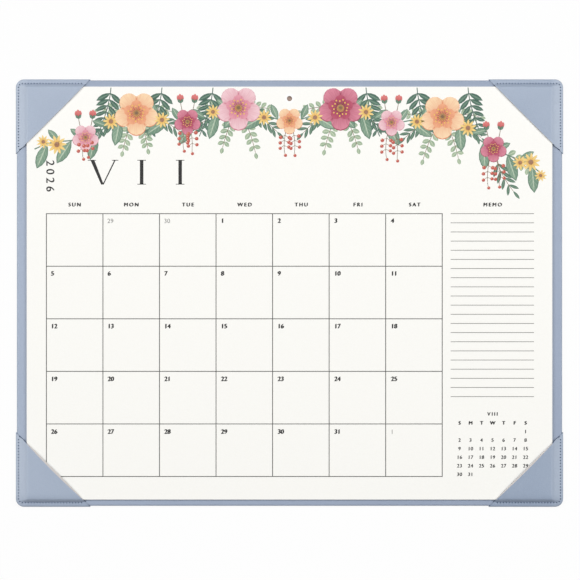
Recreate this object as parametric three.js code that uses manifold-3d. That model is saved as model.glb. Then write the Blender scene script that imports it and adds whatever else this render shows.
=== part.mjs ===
// Desk pad calendar: a leatherette holder with four corner pockets and a monthly paper pad in it.
// Millimetres. +X runs across the page, +Y towards its top edge, +Z up.
// The origin is under the middle of the holder, on the surface that it lies on.

import * as THREE from 'three';
import { mergeVertices } from 'three/addons/utils/BufferGeometryUtils.js';
import Module from 'manifold-3d';

const wasm = await Module();
wasm.setup();

// Pad: printed sheets glued into one block on a chipboard back
const sheetWidth = 538;
const sheetDepth = 422.6;
const sheetStackThickness = 1.8;
const backingThickness = 1;
const hangHoleDiameter = 5.4;
const hangHoleFromTop = 12.2;

// Holder: a stiff board wrapped in leatherette, with a lining under it. Its rim stands out past the pad.
const sideRim = 10.4;
const endRim = 6.7;
const holderCornerRadius = 7.4;
const leatherThickness = 0.9;
const boardThickness = 2.5;
const liningThickness = 0.9;
const edgeTopRadius = 1.6;
const edgeBottomRadius = 1.2;
const turnInWidth = 22;
const boardClearance = 0.3;
const liningInset = 10.5;
const liningStep = 2.6;
const liningClearance = 0.3;

// Corner pockets: one folded piece of leatherette at each corner
const pocketReach = 75.8;
const pocketDrawIn = 1;
const pocketHem = 9;
const wrapGap = 0.1;
const seamMargin = 4.6;
const browBeforePad = 0.3;
const padSlack = 0.3;
const topMouthLift = 0.2;
const bottomMouthLift = 1.3;

// Print: ink stands a little proud of the sheet, one layer on the next
const inkThickness = 0.06;
const dayColumns = 7;
const dayRows = 5;
const gridLineWidth = 0.8;
const gridFromLeft = 20.2;
const gridFromBottom = 23.6;
const gridFromTop = 130;
const noteLines = 21;
const noteLinePitch = 9.363;
const noteLineLength = 85.3;
const noteLineWidth = 0.6;
const notesFromGrid = 8.6;
const notesFromRight = 18.8;
const holeRingDiameter = 9.8;

// Flower border along the top of the page
const swagCount = 5;
const swagDrop = 13;
const stemFromTop = 22;
const leftEndDrop = 42;
const rightEndDrop = 70;
const endDropPower = 4;
const stemWidth = 1.2;
const leafPairs = 21;
const lowerLeafLength = 27;
const upperLeafLength = 16;
const leafSlimness = 0.23;
const leafLean = 0.9;
const leafShoulder = 0.3;
const leafFullness = 1.3;
const borderMargin = 8;
const frondPairs = 3;
const frondLength = 50;
const frondSlant = 0.28;
const frondSweepPower = 1.5;
const frondTaper = 0.6;
const firstFrondSwags = 0.75;
const frondStemWidth = 0.9;
const frondLeaflets = 7;
const frondLeafletLength = 17;
const frondLeafletSlimness = 0.19;
const frondLean = 0.95;
const blossomRadius = 23;
const smallBlossomShare = 0.6;
const petalCount = 5;
const petalDepth = 0.3;
const petalRoundness = 0.7;
const blossomEyeShare = 0.17;

// Fineness of the facets
const cornerSteps = 6;
const edgeSteps = 4;
const riseSteps = 5;
const legSteps = 6;
const holeSteps = 24;
const petalSteps = 8;
const leafSteps = 5;
const leafletSteps = 4;
const headingStep = 0.005;
const pointsPerMillimetre = 1e4;

// Heights, from the surface that the pad lies on
const turnInBottom = liningThickness;
const boardBottom = turnInBottom + leatherThickness;
const boardTop = boardBottom + boardThickness;
const coverTop = boardTop + leatherThickness;
const backingTop = coverTop + backingThickness;
const sheetTop = backingTop + sheetStackThickness;
const pocketSeat = sheetTop + padSlack;

const holderWidth = sheetWidth + 2 * sideRim;
const holderDepth = sheetDepth + 2 * endRim;

const dayHeight = (sheetDepth - gridFromTop - gridFromBottom) / dayRows;
const dayWidth = (sheetWidth - gridFromLeft - notesFromGrid - noteLineLength - notesFromRight) / dayColumns;

// Ink layers, from the paper up: fronds, garland, blossoms, blossom centres
const garlandLayer = sheetTop + inkThickness;
const blossomLayer = garlandLayer + inkThickness;
const eyeLayer = blossomLayer + inkThickness;

const leatherette = () => new THREE.MeshStandardMaterial({ color: 0xa5b5ca, roughness: 0.55 });
const paper = () => new THREE.MeshStandardMaterial({ color: 0xfaf9f4, roughness: 0.8 });
const chipboard = () => new THREE.MeshStandardMaterial({ color: 0xa08f82, roughness: 0.9 });
const ink = (color) => new THREE.MeshStandardMaterial({ color, roughness: 0.85 });

const desk_pad_calendar = new THREE.Group();

function addPiece(name, geometry, material) {
  const piece = new THREE.Mesh(geometry, material);
  piece.name = name;
  desk_pad_calendar.add(piece);
  return piece;
}

// Collects a closed surface from points and faces, leaving out faces that fold up to nothing
class Skin {
  constructor() {
    this.positions = [];
    this.indices = [];
    this.known = new Map();
  }

  point(x, y, z) {
    const key = [x, y, z].map((value) => Math.round(value * pointsPerMillimetre)).join(' ');
    if (!this.known.has(key)) {
      this.known.set(key, this.positions.length / 3);
      this.positions.push(x, y, z);
    }
    return this.known.get(key);
  }

  triangle(a, b, c) {
    if (a !== b && b !== c && c !== a) this.indices.push(a, b, c);
  }

  quad(a, b, c, d) {
    this.triangle(a, b, c);
    this.triangle(a, c, d);
  }

  geometry() {
    const geometry = new THREE.BufferGeometry();
    geometry.setAttribute('position', new THREE.Float32BufferAttribute(this.positions, 3));
    geometry.setIndex(this.indices);
    geometry.computeVertexNormals();
    return geometry;
  }
}

// The points of an arc about a centre, in the section plane of an edge: inset from the edge, height
function edgeArc(centreInset, centreHeight, insetRadius, heightRadius, startAngle, endAngle) {
  const points = [];
  for (let step = 0; step <= edgeSteps; step += 1) {
    const angle = THREE.MathUtils.lerp(startAngle, endAngle, step / edgeSteps);
    points.push({
      inset: centreInset - insetRadius * Math.cos(angle),
      height: centreHeight + heightRadius * Math.sin(angle),
    });
  }
  return points;
}

// One ring round the holder at an inset from its edge, anticlockwise seen from above
function holderRing(skin, { inset, height }) {
  const radius = Math.max(holderCornerRadius - inset, 0);
  const centreX = holderWidth / 2 - inset - radius;
  const centreY = holderDepth / 2 - inset - radius;
  const ring = [];
  for (let corner = 0; corner < 4; corner += 1) {
    const signX = corner === 0 || corner === 3 ? 1 : -1;
    const signY = corner < 2 ? 1 : -1;
    for (let step = 0; step <= cornerSteps; step += 1) {
      const angle = (corner + step / cornerSteps) * (Math.PI / 2);
      const x = signX * centreX + radius * Math.cos(angle);
      const y = signY * centreY + radius * Math.sin(angle);
      ring.push(skin.point(x, y, height));
    }
  }
  return ring;
}

function capRing(skin, ring, height, upward) {
  const centre = skin.point(0, 0, height);
  ring.forEach((point, index) => {
    const next = ring[(index + 1) % ring.length];
    if (upward) skin.triangle(centre, point, next);
    else skin.triangle(centre, next, point);
  });
}

// A solid whose section, the same on all four sides, runs from its upper face outwards to its lower face
function framedSolid(section) {
  const skin = new Skin();
  const rings = section.map((station) => holderRing(skin, station));
  capRing(skin, rings[0], section[0].height, true);
  for (let level = 1; level < rings.length; level += 1) {
    const upper = rings[level - 1];
    const lower = rings[level];
    upper.forEach((point, index) => {
      const next = (index + 1) % upper.length;
      skin.quad(point, lower[index], lower[next], upper[next]);
    });
  }
  capRing(skin, rings.at(-1), section.at(-1).height, false);
  return skin.geometry();
}

function plate(shape, bottom, thickness, curveSegments = holeSteps) {
  const geometry = new THREE.ExtrudeGeometry(shape, { depth: thickness, bevelEnabled: false, curveSegments });
  geometry.translate(0, 0, bottom);
  return geometry;
}

function asSolid(geometry) {
  const bare = geometry.clone();
  bare.deleteAttribute('normal');
  bare.deleteAttribute('uv');
  const merged = mergeVertices(bare);
  return new wasm.Manifold(new wasm.Mesh({
    numProp: 3,
    vertProperties: new Float32Array(merged.attributes.position.array),
    triVerts: new Uint32Array(merged.index.array),
  }));
}

function asGeometry(solid) {
  const { vertProperties, triVerts } = solid.getMesh();
  const geometry = new THREE.BufferGeometry();
  geometry.setAttribute('position', new THREE.BufferAttribute(new Float32Array(vertProperties), 3));
  geometry.setIndex(new THREE.BufferAttribute(new Uint32Array(triVerts), 1));
  geometry.computeVertexNormals();
  return geometry;
}

function rectangle(left, bottom, width, depth) {
  const outline = new THREE.Shape();
  outline.moveTo(left, bottom);
  outline.lineTo(left + width, bottom);
  outline.lineTo(left + width, bottom + depth);
  outline.lineTo(left, bottom + depth);
  outline.closePath();
  return outline;
}

// The leatherette sheet over the board: top face, rounded edge, turned in under the board.
// Its section goes on inside, along the face that is glued to the board.
function holderCover() {
  const quarter = Math.PI / 2;
  const topEdge = edgeArc(edgeTopRadius, coverTop - edgeTopRadius, edgeTopRadius, edgeTopRadius, quarter, 0);
  const bottomEdge = edgeArc(
    edgeBottomRadius,
    turnInBottom + edgeBottomRadius,
    edgeBottomRadius,
    edgeBottomRadius,
    0,
    -quarter,
  );
  return framedSolid([
    ...topEdge,
    ...bottomEdge,
    { inset: turnInWidth, height: turnInBottom },
    { inset: turnInWidth, height: boardBottom },
    { inset: leatherThickness, height: boardBottom },
    { inset: leatherThickness, height: boardTop },
  ]);
}

function holderBoard() {
  const inset = leatherThickness + boardClearance;
  return framedSolid([
    { inset, height: boardTop },
    { inset, height: boardBottom },
  ]);
}

// The lining sheet is glued over the turned-in edge and steps up to the board inside it
function undersideLining() {
  const stepFoot = turnInWidth + liningClearance;
  return framedSolid([
    { inset: stepFoot + liningStep, height: boardBottom },
    { inset: stepFoot, height: liningThickness },
    { inset: liningInset, height: liningThickness },
    { inset: liningInset, height: 0 },
    { inset: stepFoot + liningClearance, height: 0 },
    { inset: stepFoot + liningStep + liningClearance, height: boardBottom - liningThickness },
  ]);
}

addPiece('holder_cover', holderCover(), leatherette());
addPiece('holder_board', holderBoard(), chipboard());
addPiece('underside_lining', undersideLining(), ink(0x5f6b7d));

// The inner face of a pocket's leatherette, in section: hem under the holder, up round the edge,
// the flat seam margin, then up over the edge of the pad. reachShare is 0 at the seam, 1 on the pad.
function pocketSection(padEdgeInset) {
  const quarter = Math.PI / 2;
  const bottomEdge = edgeArc(
    edgeBottomRadius,
    turnInBottom + edgeBottomRadius,
    edgeBottomRadius + wrapGap,
    edgeBottomRadius,
    -quarter,
    0,
  );
  const topEdge = edgeArc(
    edgeTopRadius,
    coverTop - edgeTopRadius,
    edgeTopRadius + wrapGap,
    edgeTopRadius,
    0,
    quarter,
  );
  const section = [{ inset: pocketHem, height: turnInBottom }, ...bottomEdge, ...topEdge];
  section.forEach((station) => {
    station.reachShare = 0;
  });
  const brow = padEdgeInset - browBeforePad;
  for (let step = 0; step <= riseSteps; step += 1) {
    const share = step / riseSteps;
    const ease = (1 - Math.cos(share * Math.PI)) / 2;
    section.push({
      inset: THREE.MathUtils.lerp(seamMargin, brow, share),
      height: THREE.MathUtils.lerp(coverTop, pocketSeat, ease),
      reachShare: ease,
    });
  }
  return section;
}

// The outer face of the same leatherette, one thickness away along the section's normals
function outerSection(section) {
  return section.map((station, index) => {
    const before = section[Math.max(index - 1, 0)];
    const after = section[Math.min(index + 1, section.length - 1)];
    const direction = new THREE.Vector2(after.inset - before.inset, after.height - before.height).normalize();
    const flat = index === 0 || index === section.length - 1;
    const normal = flat
      ? new THREE.Vector2(0, index === 0 ? -1 : 1)
      : new THREE.Vector2(-direction.y, direction.x);
    return {
      inset: station.inset + normal.x * leatherThickness,
      height: station.height + normal.y * leatherThickness,
      reachShare: station.reachShare,
    };
  });
}

// One line of a pocket face, from its mouth along the side, round the corner, to its mouth along the end.
// Insets are measured from the holder's side and end, with the corner of the holder at zero.
function pocketLine(side, end) {
  const reach = pocketReach - pocketDrawIn * (1 - side.reachShare);
  const radius = Math.max(holderCornerRadius - Math.max(side.inset, end.inset), 0);
  const cornerX = side.inset + radius;
  const cornerY = end.inset + radius;
  const line = [];
  for (let step = 0; step < legSteps; step += 1) {
    line.push([side.inset, THREE.MathUtils.lerp(reach - side.inset, cornerY, step / legSteps)]);
  }
  for (let step = 0; step <= cornerSteps; step += 1) {
    const angle = (step / cornerSteps) * (Math.PI / 2);
    line.push([cornerX - radius * Math.cos(angle), cornerY - radius * Math.sin(angle)]);
  }
  for (let step = 1; step <= legSteps; step += 1) {
    line.push([THREE.MathUtils.lerp(cornerX, reach - end.inset, step / legSteps), end.inset]);
  }
  return line;
}

// One face of the pocket: its lines, then the triangle over the pad, lifted along the mouth
function pocketFace(skin, sideSection, endSection, mouthLift, place) {
  const lines = sideSection.map((side, level) => {
    const end = endSection[level];
    const last = pocketLine(side, end).length - 1;
    return pocketLine(side, end).map(([x, y], index) => {
      const height = THREE.MathUtils.lerp(side.height, end.height, index / last);
      return place(skin, x, y, height);
    });
  });
  const side = sideSection.at(-1);
  const end = endSection.at(-1);
  const sideLeg = pocketReach - side.inset - end.inset;
  const rows = [];
  for (let row = 0; row <= legSteps; row += 1) {
    const points = [];
    for (let column = 0; column <= row; column += 1) {
      const along = row === 0 ? 0 : column / row;
      const lift = mouthLift * (row / legSteps) ** 2 * Math.sin(along * Math.PI);
      const x = side.inset + sideLeg * (column / legSteps);
      const y = end.inset + sideLeg * ((row - column) / legSteps);
      points.push(place(skin, x, y, side.height + lift));
    }
    rows.push(points);
  }
  return { lines, rows };
}

// A pocket is the outer face and the inner face of one sheet, joined along the mouth and the hem
function cornerPocket(signX, signY, mouthLift) {
  const skin = new Skin();
  const mirrored = signX * signY < 0;
  const place = (target, x, y, height) =>
    target.point(signX * (holderWidth / 2 - x), signY * (holderDepth / 2 - y), height);
  const addQuad = (a, b, c, d) => (mirrored ? skin.quad(d, c, b, a) : skin.quad(a, b, c, d));
  const addTriangle = (a, b, c) => (mirrored ? skin.triangle(c, b, a) : skin.triangle(a, b, c));

  const sideSection = pocketSection(sideRim);
  const endSection = pocketSection(endRim);
  const inner = pocketFace(skin, sideSection, endSection, mouthLift, place);
  const outer = pocketFace(skin, outerSection(sideSection), outerSection(endSection), mouthLift, place);

  for (let level = 1; level < inner.lines.length; level += 1) {
    for (let index = 1; index < inner.lines[level].length; index += 1) {
      const corners = (lines) => [
        lines[level - 1][index - 1],
        lines[level][index - 1],
        lines[level][index],
        lines[level - 1][index],
      ];
      addQuad(...corners(inner.lines));
      addQuad(...corners(outer.lines).reverse());
    }
    const last = inner.lines[level].length - 1;
    addQuad(inner.lines[level][0], inner.lines[level - 1][0], outer.lines[level - 1][0], outer.lines[level][0]);
    addQuad(
      inner.lines[level - 1][last],
      inner.lines[level][last],
      outer.lines[level][last],
      outer.lines[level - 1][last],
    );
  }
  for (let index = 1; index < inner.lines[0].length; index += 1) {
    addQuad(inner.lines[0][index - 1], inner.lines[0][index], outer.lines[0][index], outer.lines[0][index - 1]);
  }
  for (let row = 1; row <= legSteps; row += 1) {
    for (let column = 0; column < row; column += 1) {
      for (const [face, turned] of [[inner.rows, false], [outer.rows, true]]) {
        const apex = face[row - 1][column];
        const start = face[row][column];
        const finish = face[row][column + 1];
        if (turned) addTriangle(apex, finish, start);
        else addTriangle(apex, start, finish);
        if (column < row - 1) {
          const beside = face[row - 1][column + 1];
          if (turned) addTriangle(apex, beside, finish);
          else addTriangle(apex, finish, beside);
        }
      }
    }
  }
  for (let column = 1; column <= legSteps; column += 1) {
    const innerMouth = inner.rows[legSteps];
    const outerMouth = outer.rows[legSteps];
    addQuad(innerMouth[column], innerMouth[column - 1], outerMouth[column - 1], outerMouth[column]);
  }
  return skin.geometry();
}

addPiece('pocket_top_left', cornerPocket(-1, 1, topMouthLift), leatherette());
addPiece('pocket_top_right', cornerPocket(1, 1, topMouthLift), leatherette());
addPiece('pocket_bottom_left', cornerPocket(-1, -1, bottomMouthLift), leatherette());
addPiece('pocket_bottom_right', cornerPocket(1, -1, bottomMouthLift), leatherette());

// The pad: chipboard back, and the sheets on it, punched near the middle of their top edge
const hangHoleY = sheetDepth / 2 - hangHoleFromTop;

function circleAt(diameter, x, y) {
  const circle = new THREE.Path();
  circle.absarc(x, y, diameter / 2, 0, Math.PI * 2, false);
  return circle;
}

function pageBlock() {
  const sheet = rectangle(-sheetWidth / 2, -sheetDepth / 2, sheetWidth, sheetDepth);
  sheet.holes.push(circleAt(hangHoleDiameter, 0, hangHoleY));
  return plate(sheet, backingTop, sheetStackThickness, holeSteps / 2);
}

const padBack = rectangle(-sheetWidth / 2, -sheetDepth / 2, sheetWidth, sheetDepth);
addPiece('chipboard_backing', plate(padBack, coverTop, backingThickness), chipboard());
addPiece('page_block', pageBlock(), paper());

// The printed grid of day boxes is one open lattice of lines: a plate with each box cut out of it
function dayGrid() {
  const left = -sheetWidth / 2 + gridFromLeft;
  const bottom = -sheetDepth / 2 + gridFromBottom;
  const half = gridLineWidth / 2;
  const width = dayColumns * dayWidth + gridLineWidth;
  const depth = dayRows * dayHeight + gridLineWidth;
  const cutterBottom = sheetTop - inkThickness;
  const cutterHeight = inkThickness * 3;
  let lattice = asSolid(plate(rectangle(left - half, bottom - half, width, depth), sheetTop, inkThickness));
  for (let row = 0; row < dayRows; row += 1) {
    for (let column = 0; column < dayColumns; column += 1) {
      const boxLeft = left + column * dayWidth + half;
      const boxBottom = bottom + row * dayHeight + half;
      const box = rectangle(boxLeft, boxBottom, dayWidth - gridLineWidth, dayHeight - gridLineWidth);
      lattice = lattice.subtract(asSolid(plate(box, cutterBottom, cutterHeight)));
    }
  }
  return asGeometry(lattice);
}

addPiece('print_day_grid', dayGrid(), ink(0x5d5d5b));

// Ruled lines for notes, level with the top of the grid and going down beside it
const gridRight = -sheetWidth / 2 + gridFromLeft + dayColumns * dayWidth;
const gridTop = -sheetDepth / 2 + gridFromBottom + dayRows * dayHeight;

for (let line = 0; line < noteLines; line += 1) {
  const bottom = gridTop - line * noteLinePitch - noteLineWidth / 2;
  const rule = rectangle(gridRight + notesFromGrid, bottom, noteLineLength, noteLineWidth);
  const number = String(line + 1).padStart(2, '0');
  addPiece(`print_note_line_${number}`, plate(rule, sheetTop, inkThickness), ink(0xb9b8b4));
}

// The plain ring printed round the hole that the pad hangs by
const holeRing = new THREE.Shape();
holeRing.absarc(0, hangHoleY, holeRingDiameter / 2, 0, Math.PI * 2, false);
holeRing.holes.push(circleAt(hangHoleDiameter, 0, hangHoleY));
addPiece('print_hole_ring', plate(holeRing, sheetTop, inkThickness, holeSteps / 2), ink(0xffffff));

// Flower border: a stem that hangs in swags and drops at both ends, with leaves on both sides
const borderHalf = sheetWidth / 2 - borderMargin;
const swagWidth = (borderHalf * 2) / swagCount;

function stemPoint(x) {
  const endDrop = x < 0 ? leftEndDrop : rightEndDrop;
  const swag = (1 - Math.cos(((x + borderHalf) / swagWidth) * Math.PI * 2)) / 2;
  const fall = stemFromTop + swagDrop * swag + endDrop * Math.abs(x / borderHalf) ** endDropPower;
  return new THREE.Vector2(x, sheetDepth / 2 - fall);
}

// A leaf's outline from one side of its root round its tip to the other. It leans off the stem to the left
// of the stem's direction where side is 1 and to the right where it is -1.
function leafPoints(root, along, side, { length, slimness, lean, stem, steps }) {
  const reach = along.clone().multiplyScalar(length).rotateAround(new THREE.Vector2(), lean * side);
  const across = new THREE.Vector2(-reach.y, reach.x).multiplyScalar(slimness);
  const near = root.clone().addScaledVector(along, stem / 2);
  const far = root.clone().addScaledVector(along, -stem / 2);
  const tip = root.clone().add(reach);
  const edge = (start, turn) => new THREE.CubicBezierCurve(
    start,
    start.clone().addScaledVector(reach, leafShoulder).addScaledVector(across, turn),
    tip.clone().addScaledVector(reach, -leafShoulder).addScaledVector(across, turn * leafFullness),
    tip,
  );
  const outward = edge(far, side).getPoints(steps);
  const homeward = edge(near, -side).getPoints(steps).reverse();
  return [...outward, ...homeward.slice(1)];
}

// A stem with leaves as one outline: up its left side with their leaves, and back down its right side
function sprig(curve, joints, leafOn, stem) {
  const left = [];
  const right = [];
  for (let joint = 0; joint <= joints; joint += 1) {
    const share = joint / joints;
    const spot = curve(share);
    const ahead = curve(Math.min(share + headingStep, 1));
    const behind = curve(Math.max(share - headingStep, 0));
    const along = ahead.sub(behind).normalize();
    const across = new THREE.Vector2(-along.y, along.x).multiplyScalar(stem / 2);
    for (const [list, side] of [[left, 1], [right, -1]]) {
      const root = spot.clone().addScaledVector(across, side);
      const leaf = leafOn(joint, share, side);
      list.push(...(leaf ? leafPoints(root, along, side, { ...leaf, stem }) : [root]));
    }
  }
  return new THREE.Shape([...right, ...left.reverse()]);
}

// Each half of the garland grows from its middle outwards, so that its leaves look down the swags
function garlandLeaf(joint, joints, side, direction) {
  const upperSide = side === direction;
  const bearing = joint % 2 === (upperSide ? 1 : 0);
  if (!bearing || joint === 0 || joint === joints) return null;
  return {
    length: upperSide ? upperLeafLength : lowerLeafLength,
    slimness: leafSlimness,
    lean: leafLean,
    steps: leafSteps,
  };
}

function garlandHalf(direction) {
  const grown = (share) => stemPoint(direction * borderHalf * share);
  const leafOn = (joint, share, side) => garlandLeaf(joint, leafPairs, side, direction);
  return plate(sprig(grown, leafPairs, leafOn, stemWidth), garlandLayer, inkThickness);
}

addPiece('print_garland_left', garlandHalf(-1), ink(0x7f9c88));
addPiece('print_garland_right', garlandHalf(1), ink(0x7f9c88));

// Fronds hang from the top edge of the page behind the garland, one between each two blossoms
function frond(x, direction) {
  const root = new THREE.Vector2(x, sheetDepth / 2 - frondStemWidth);
  const drop = (share) => new THREE.Vector2(
    root.x + direction * frondLength * frondSlant * share ** frondSweepPower,
    root.y - frondLength * share,
  );
  const leafOn = (joint, share) => (joint === 0 || joint > frondLeaflets ? null : {
    length: frondLeafletLength * (1 - frondTaper * share),
    slimness: frondLeafletSlimness,
    lean: frondLean,
    steps: leafletSteps,
  });
  return plate(sprig(drop, frondLeaflets + 1, leafOn, frondStemWidth), sheetTop, inkThickness);
}

for (let pair = 0; pair < frondPairs; pair += 1) {
  const x = swagWidth * (firstFrondSwags + pair / 2);
  addPiece(`print_frond_left_${pair + 1}`, frond(-x, -1), ink(0x4f6f62));
  addPiece(`print_frond_right_${pair + 1}`, frond(x, 1), ink(0x4f6f62));
}

// Blossoms sit on the garland, a large one where two swags meet and a small one at each low point
function blossomShape(radius) {
  const outline = [];
  const points = petalCount * petalSteps;
  for (let step = 0; step < points; step += 1) {
    const angle = (step / points) * Math.PI * 2;
    const petal = Math.abs(Math.sin((angle * petalCount) / 2)) ** petalRoundness;
    const distance = radius * (1 - petalDepth * (1 - petal));
    outline.push(new THREE.Vector2(distance * Math.sin(angle), distance * Math.cos(angle)));
  }
  return new THREE.Shape(outline);
}

const blossomInks = [0xe8b4be, 0xf0c9a0, 0xc2748a];
const blossomSpots = [];
for (let spot = 1; spot < swagCount * 2; spot += 1) {
  const small = spot % 2 === 1;
  blossomSpots.push({
    centre: stemPoint(-borderHalf + (spot / 2) * swagWidth),
    radius: small ? blossomRadius * smallBlossomShare : blossomRadius,
  });
}

blossomSpots.forEach(({ centre, radius }, index) => {
  const number = String(index + 1).padStart(2, '0');
  const petals = plate(blossomShape(radius), blossomLayer, inkThickness);
  const eye = new THREE.CylinderGeometry(
    radius * blossomEyeShare,
    radius * blossomEyeShare,
    inkThickness,
    petalCount * 2,
  );
  eye.rotateX(Math.PI / 2);
  const blossom = addPiece(`print_blossom_${number}`, petals, ink(blossomInks[index % blossomInks.length]));
  blossom.position.set(centre.x, centre.y, 0);
  const heart = addPiece(`print_blossom_eye_${number}`, eye, ink(0xd79b3c));
  heart.position.set(centre.x, centre.y, eyeLayer + inkThickness / 2);
});

export default desk_pad_calendar;
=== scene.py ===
import math
import random

import bmesh
import bpy
from mathutils import Matrix, Vector


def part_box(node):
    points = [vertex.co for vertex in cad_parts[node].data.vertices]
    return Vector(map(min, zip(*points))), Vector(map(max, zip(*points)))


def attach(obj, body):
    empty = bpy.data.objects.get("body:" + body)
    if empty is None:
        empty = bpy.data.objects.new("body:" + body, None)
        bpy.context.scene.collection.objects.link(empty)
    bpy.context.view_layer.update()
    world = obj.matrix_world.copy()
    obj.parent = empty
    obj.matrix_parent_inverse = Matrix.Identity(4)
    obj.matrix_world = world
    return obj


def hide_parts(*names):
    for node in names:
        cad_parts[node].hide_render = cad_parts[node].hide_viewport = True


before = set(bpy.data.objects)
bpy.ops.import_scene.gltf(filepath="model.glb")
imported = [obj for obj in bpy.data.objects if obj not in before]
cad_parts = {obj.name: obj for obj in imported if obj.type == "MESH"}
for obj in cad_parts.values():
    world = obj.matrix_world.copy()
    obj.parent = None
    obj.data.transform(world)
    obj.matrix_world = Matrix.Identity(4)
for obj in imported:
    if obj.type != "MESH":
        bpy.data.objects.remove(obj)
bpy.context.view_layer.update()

# Chipboard: the stiff board inside the holder and the back of the pad are grey-brown pressed board,
# cut flat from sheets. Flecks of darker and paler fibre show in it.
MM = 0.001


class Wire:
    """A node's output socket that takes part in arithmetic by adding Math nodes."""

    def __init__(self, tree, socket):
        self.tree = tree
        self.socket = socket

    def join(self, operation, first, second):
        return self.tree.node("ShaderNodeMath", {"operation": operation}, {0: first, 1: second})[0]

    def __add__(self, other):
        return self.join("ADD", self, other)

    def __radd__(self, other):
        return self.join("ADD", other, self)

    def __sub__(self, other):
        return self.join("SUBTRACT", self, other)

    def __rsub__(self, other):
        return self.join("SUBTRACT", other, self)

    def __mul__(self, other):
        return self.join("MULTIPLY", self, other)

    def __rmul__(self, other):
        return self.join("MULTIPLY", other, self)

    def __gt__(self, other):
        return self.join("GREATER_THAN", self, other)

    def __lt__(self, other):
        return self.join("LESS_THAN", self, other)

    def __abs__(self):
        return self.join("ABSOLUTE", self, 0.0)


class NodeTree:
    """The nodes of a material or of the world, added with their settings, values and links."""

    def __init__(self, owner):
        owner.use_nodes = True
        self.nodes = owner.node_tree.nodes
        self.links = owner.node_tree.links

    def feed(self, socket, value):
        if isinstance(value, Wire):
            self.links.new(value.socket, socket)
        else:
            socket.default_value = value

    def node(self, kind, settings, inputs):
        made = self.nodes.new(kind)
        for name, value in settings.items():
            setattr(made, name, value)
        for name, value in inputs.items():
            self.feed(made.inputs[name], value)
        return [Wire(self, socket) for socket in made.outputs]

    def ramp(self, wire, start, end, low, high):
        """Low up to the start, then evenly on to high at the end."""
        settings = {"Value": wire, "From Min": start, "From Max": end, "To Min": low, "To Max": high}
        return self.node("ShaderNodeMapRange", {}, settings)[0]


class Finish(NodeTree):
    """A node material whose Principled shader has its even values set on its own sockets."""

    def __init__(self, name, roughness, specular=0.5, sheen=0.0):
        self.material = bpy.data.materials.new(name)
        super().__init__(self.material)
        self.shader = self.nodes["Principled BSDF"]
        self.shader.inputs["Roughness"].default_value = roughness
        self.shader.inputs["Specular IOR Level"].default_value = specular
        self.shader.inputs["Sheen Weight"].default_value = sheen

    def place(self):
        return self.node("ShaderNodeTexCoord", {}, {})[3]

    def own_map(self):
        """How far along and how far across its own UV map the surface is, from 0 to 1."""
        split = self.node("ShaderNodeSeparateXYZ", {}, {"Vector": self.node("ShaderNodeTexCoord", {}, {})[2]})
        return split[0], split[1]

    def noise(self, scale, detail=2.0, roughness=0.5, vector=None):
        where = vector or self.place()
        settings = {"Vector": where, "Scale": scale, "Detail": detail, "Roughness": roughness}
        return self.node("ShaderNodeTexNoise", {}, settings)[0]

    def fold(self, wire, length):
        return self.node("ShaderNodeMath", {"operation": "PINGPONG"}, {0: wire, 1: length})[0]

    def power(self, wire, exponent):
        return self.node("ShaderNodeMath", {"operation": "POWER"}, {0: wire, 1: exponent})[0]

    def mix(self, share, first, second):
        return self.node("ShaderNodeMix", {"data_type": "RGBA"}, {0: share, 6: first, 7: second})[2]

    def spread(self, wire, low, high):
        """A noise, most of which lies between 0.3 and 0.7, stretched to low to high."""
        return self.ramp(wire, 0.3, 0.7, low, high)

    def colour(self, value):
        self.feed(self.shader.inputs["Base Color"], value)

    def roughness(self, value):
        self.feed(self.shader.inputs["Roughness"], value)

    def bump(self, height, depth):
        made = self.node("ShaderNodeBump", {}, {"Height": height, "Distance": depth, "Strength": 1.0})
        self.feed(self.shader.inputs["Normal"], made[0])


def screen_colour(red, green, blue):
    """A colour from the 0 to 255 values that it has on a screen."""
    def linear(value):
        share = value / 255
        return share / 12.92 if share <= 0.04045 else ((share + 0.055) / 1.055) ** 2.4
    return (linear(red), linear(green), linear(blue), 1.0)


def wear(node, finish):
    """A CAD node keeps its shape and takes a finish."""
    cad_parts[node].data.materials.clear()
    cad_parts[node].data.materials.append(finish.material)


chipboard = Finish("chipboard", roughness=0.92, specular=0.2)
chip_fibre = chipboard.spread(chipboard.noise(900, detail=4), 0, 1)
chipboard.colour(chipboard.mix(chip_fibre, screen_colour(143, 122, 112), screen_colour(178, 158, 148)))
chipboard.bump(chipboard.noise(2500, detail=3), 0.05 * MM)
wear("holder_board", chipboard)
wear("chipboard_backing", chipboard)

# Underside lining: a thin brushed non-slip cloth glued over the turned-in edge of the cover.
# It is a darker blue-grey than the leatherette and has a short nap.
lining = Finish("lining", roughness=0.95, specular=0.15, sheen=0.2)
lining_nap = lining.spread(lining.noise(700, detail=5, roughness=0.7), 0, 1)
lining.colour(lining.mix(lining_nap, screen_colour(84, 97, 118), screen_colour(108, 121, 142)))
lining.bump(lining.noise(1800, detail=4), 0.12 * MM)
wear("underside_lining", lining)

# Holder cover: one sheet of light blue leatherette over the board, wrapped round its edges.
# Its pebbled grain is fine and shallow, and the skin has a soft satin shine.
cover_low, cover_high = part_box("holder_cover")
HOLDER_WIDTH = cover_high.x - cover_low.x
HOLDER_DEPTH = cover_high.y - cover_low.y
GRAIN_CELLS = 950
GRAIN_DEPTH = 0.09 * MM
GRAIN_SHARE = 0.22
# Painted light: shares by which the tone darkens from the upper left to the lower right.
PAINTED_FALLOFF_RIGHT = 0.42
PAINTED_FALLOFF_DOWN = 0.08
PAINTED_FALLOFF_CORNER = 0.5
PATCH_SHARE = 0.12
# Painted shade along the far and near sides: where it starts, as a share of the depth, and how far it
# spreads.
PAINTED_SHADE_FROM = 0.4845
PAINTED_SHADE_OVER = 1.5 * MM
PAINTED_SHADE_FADE = 6 * MM
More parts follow.
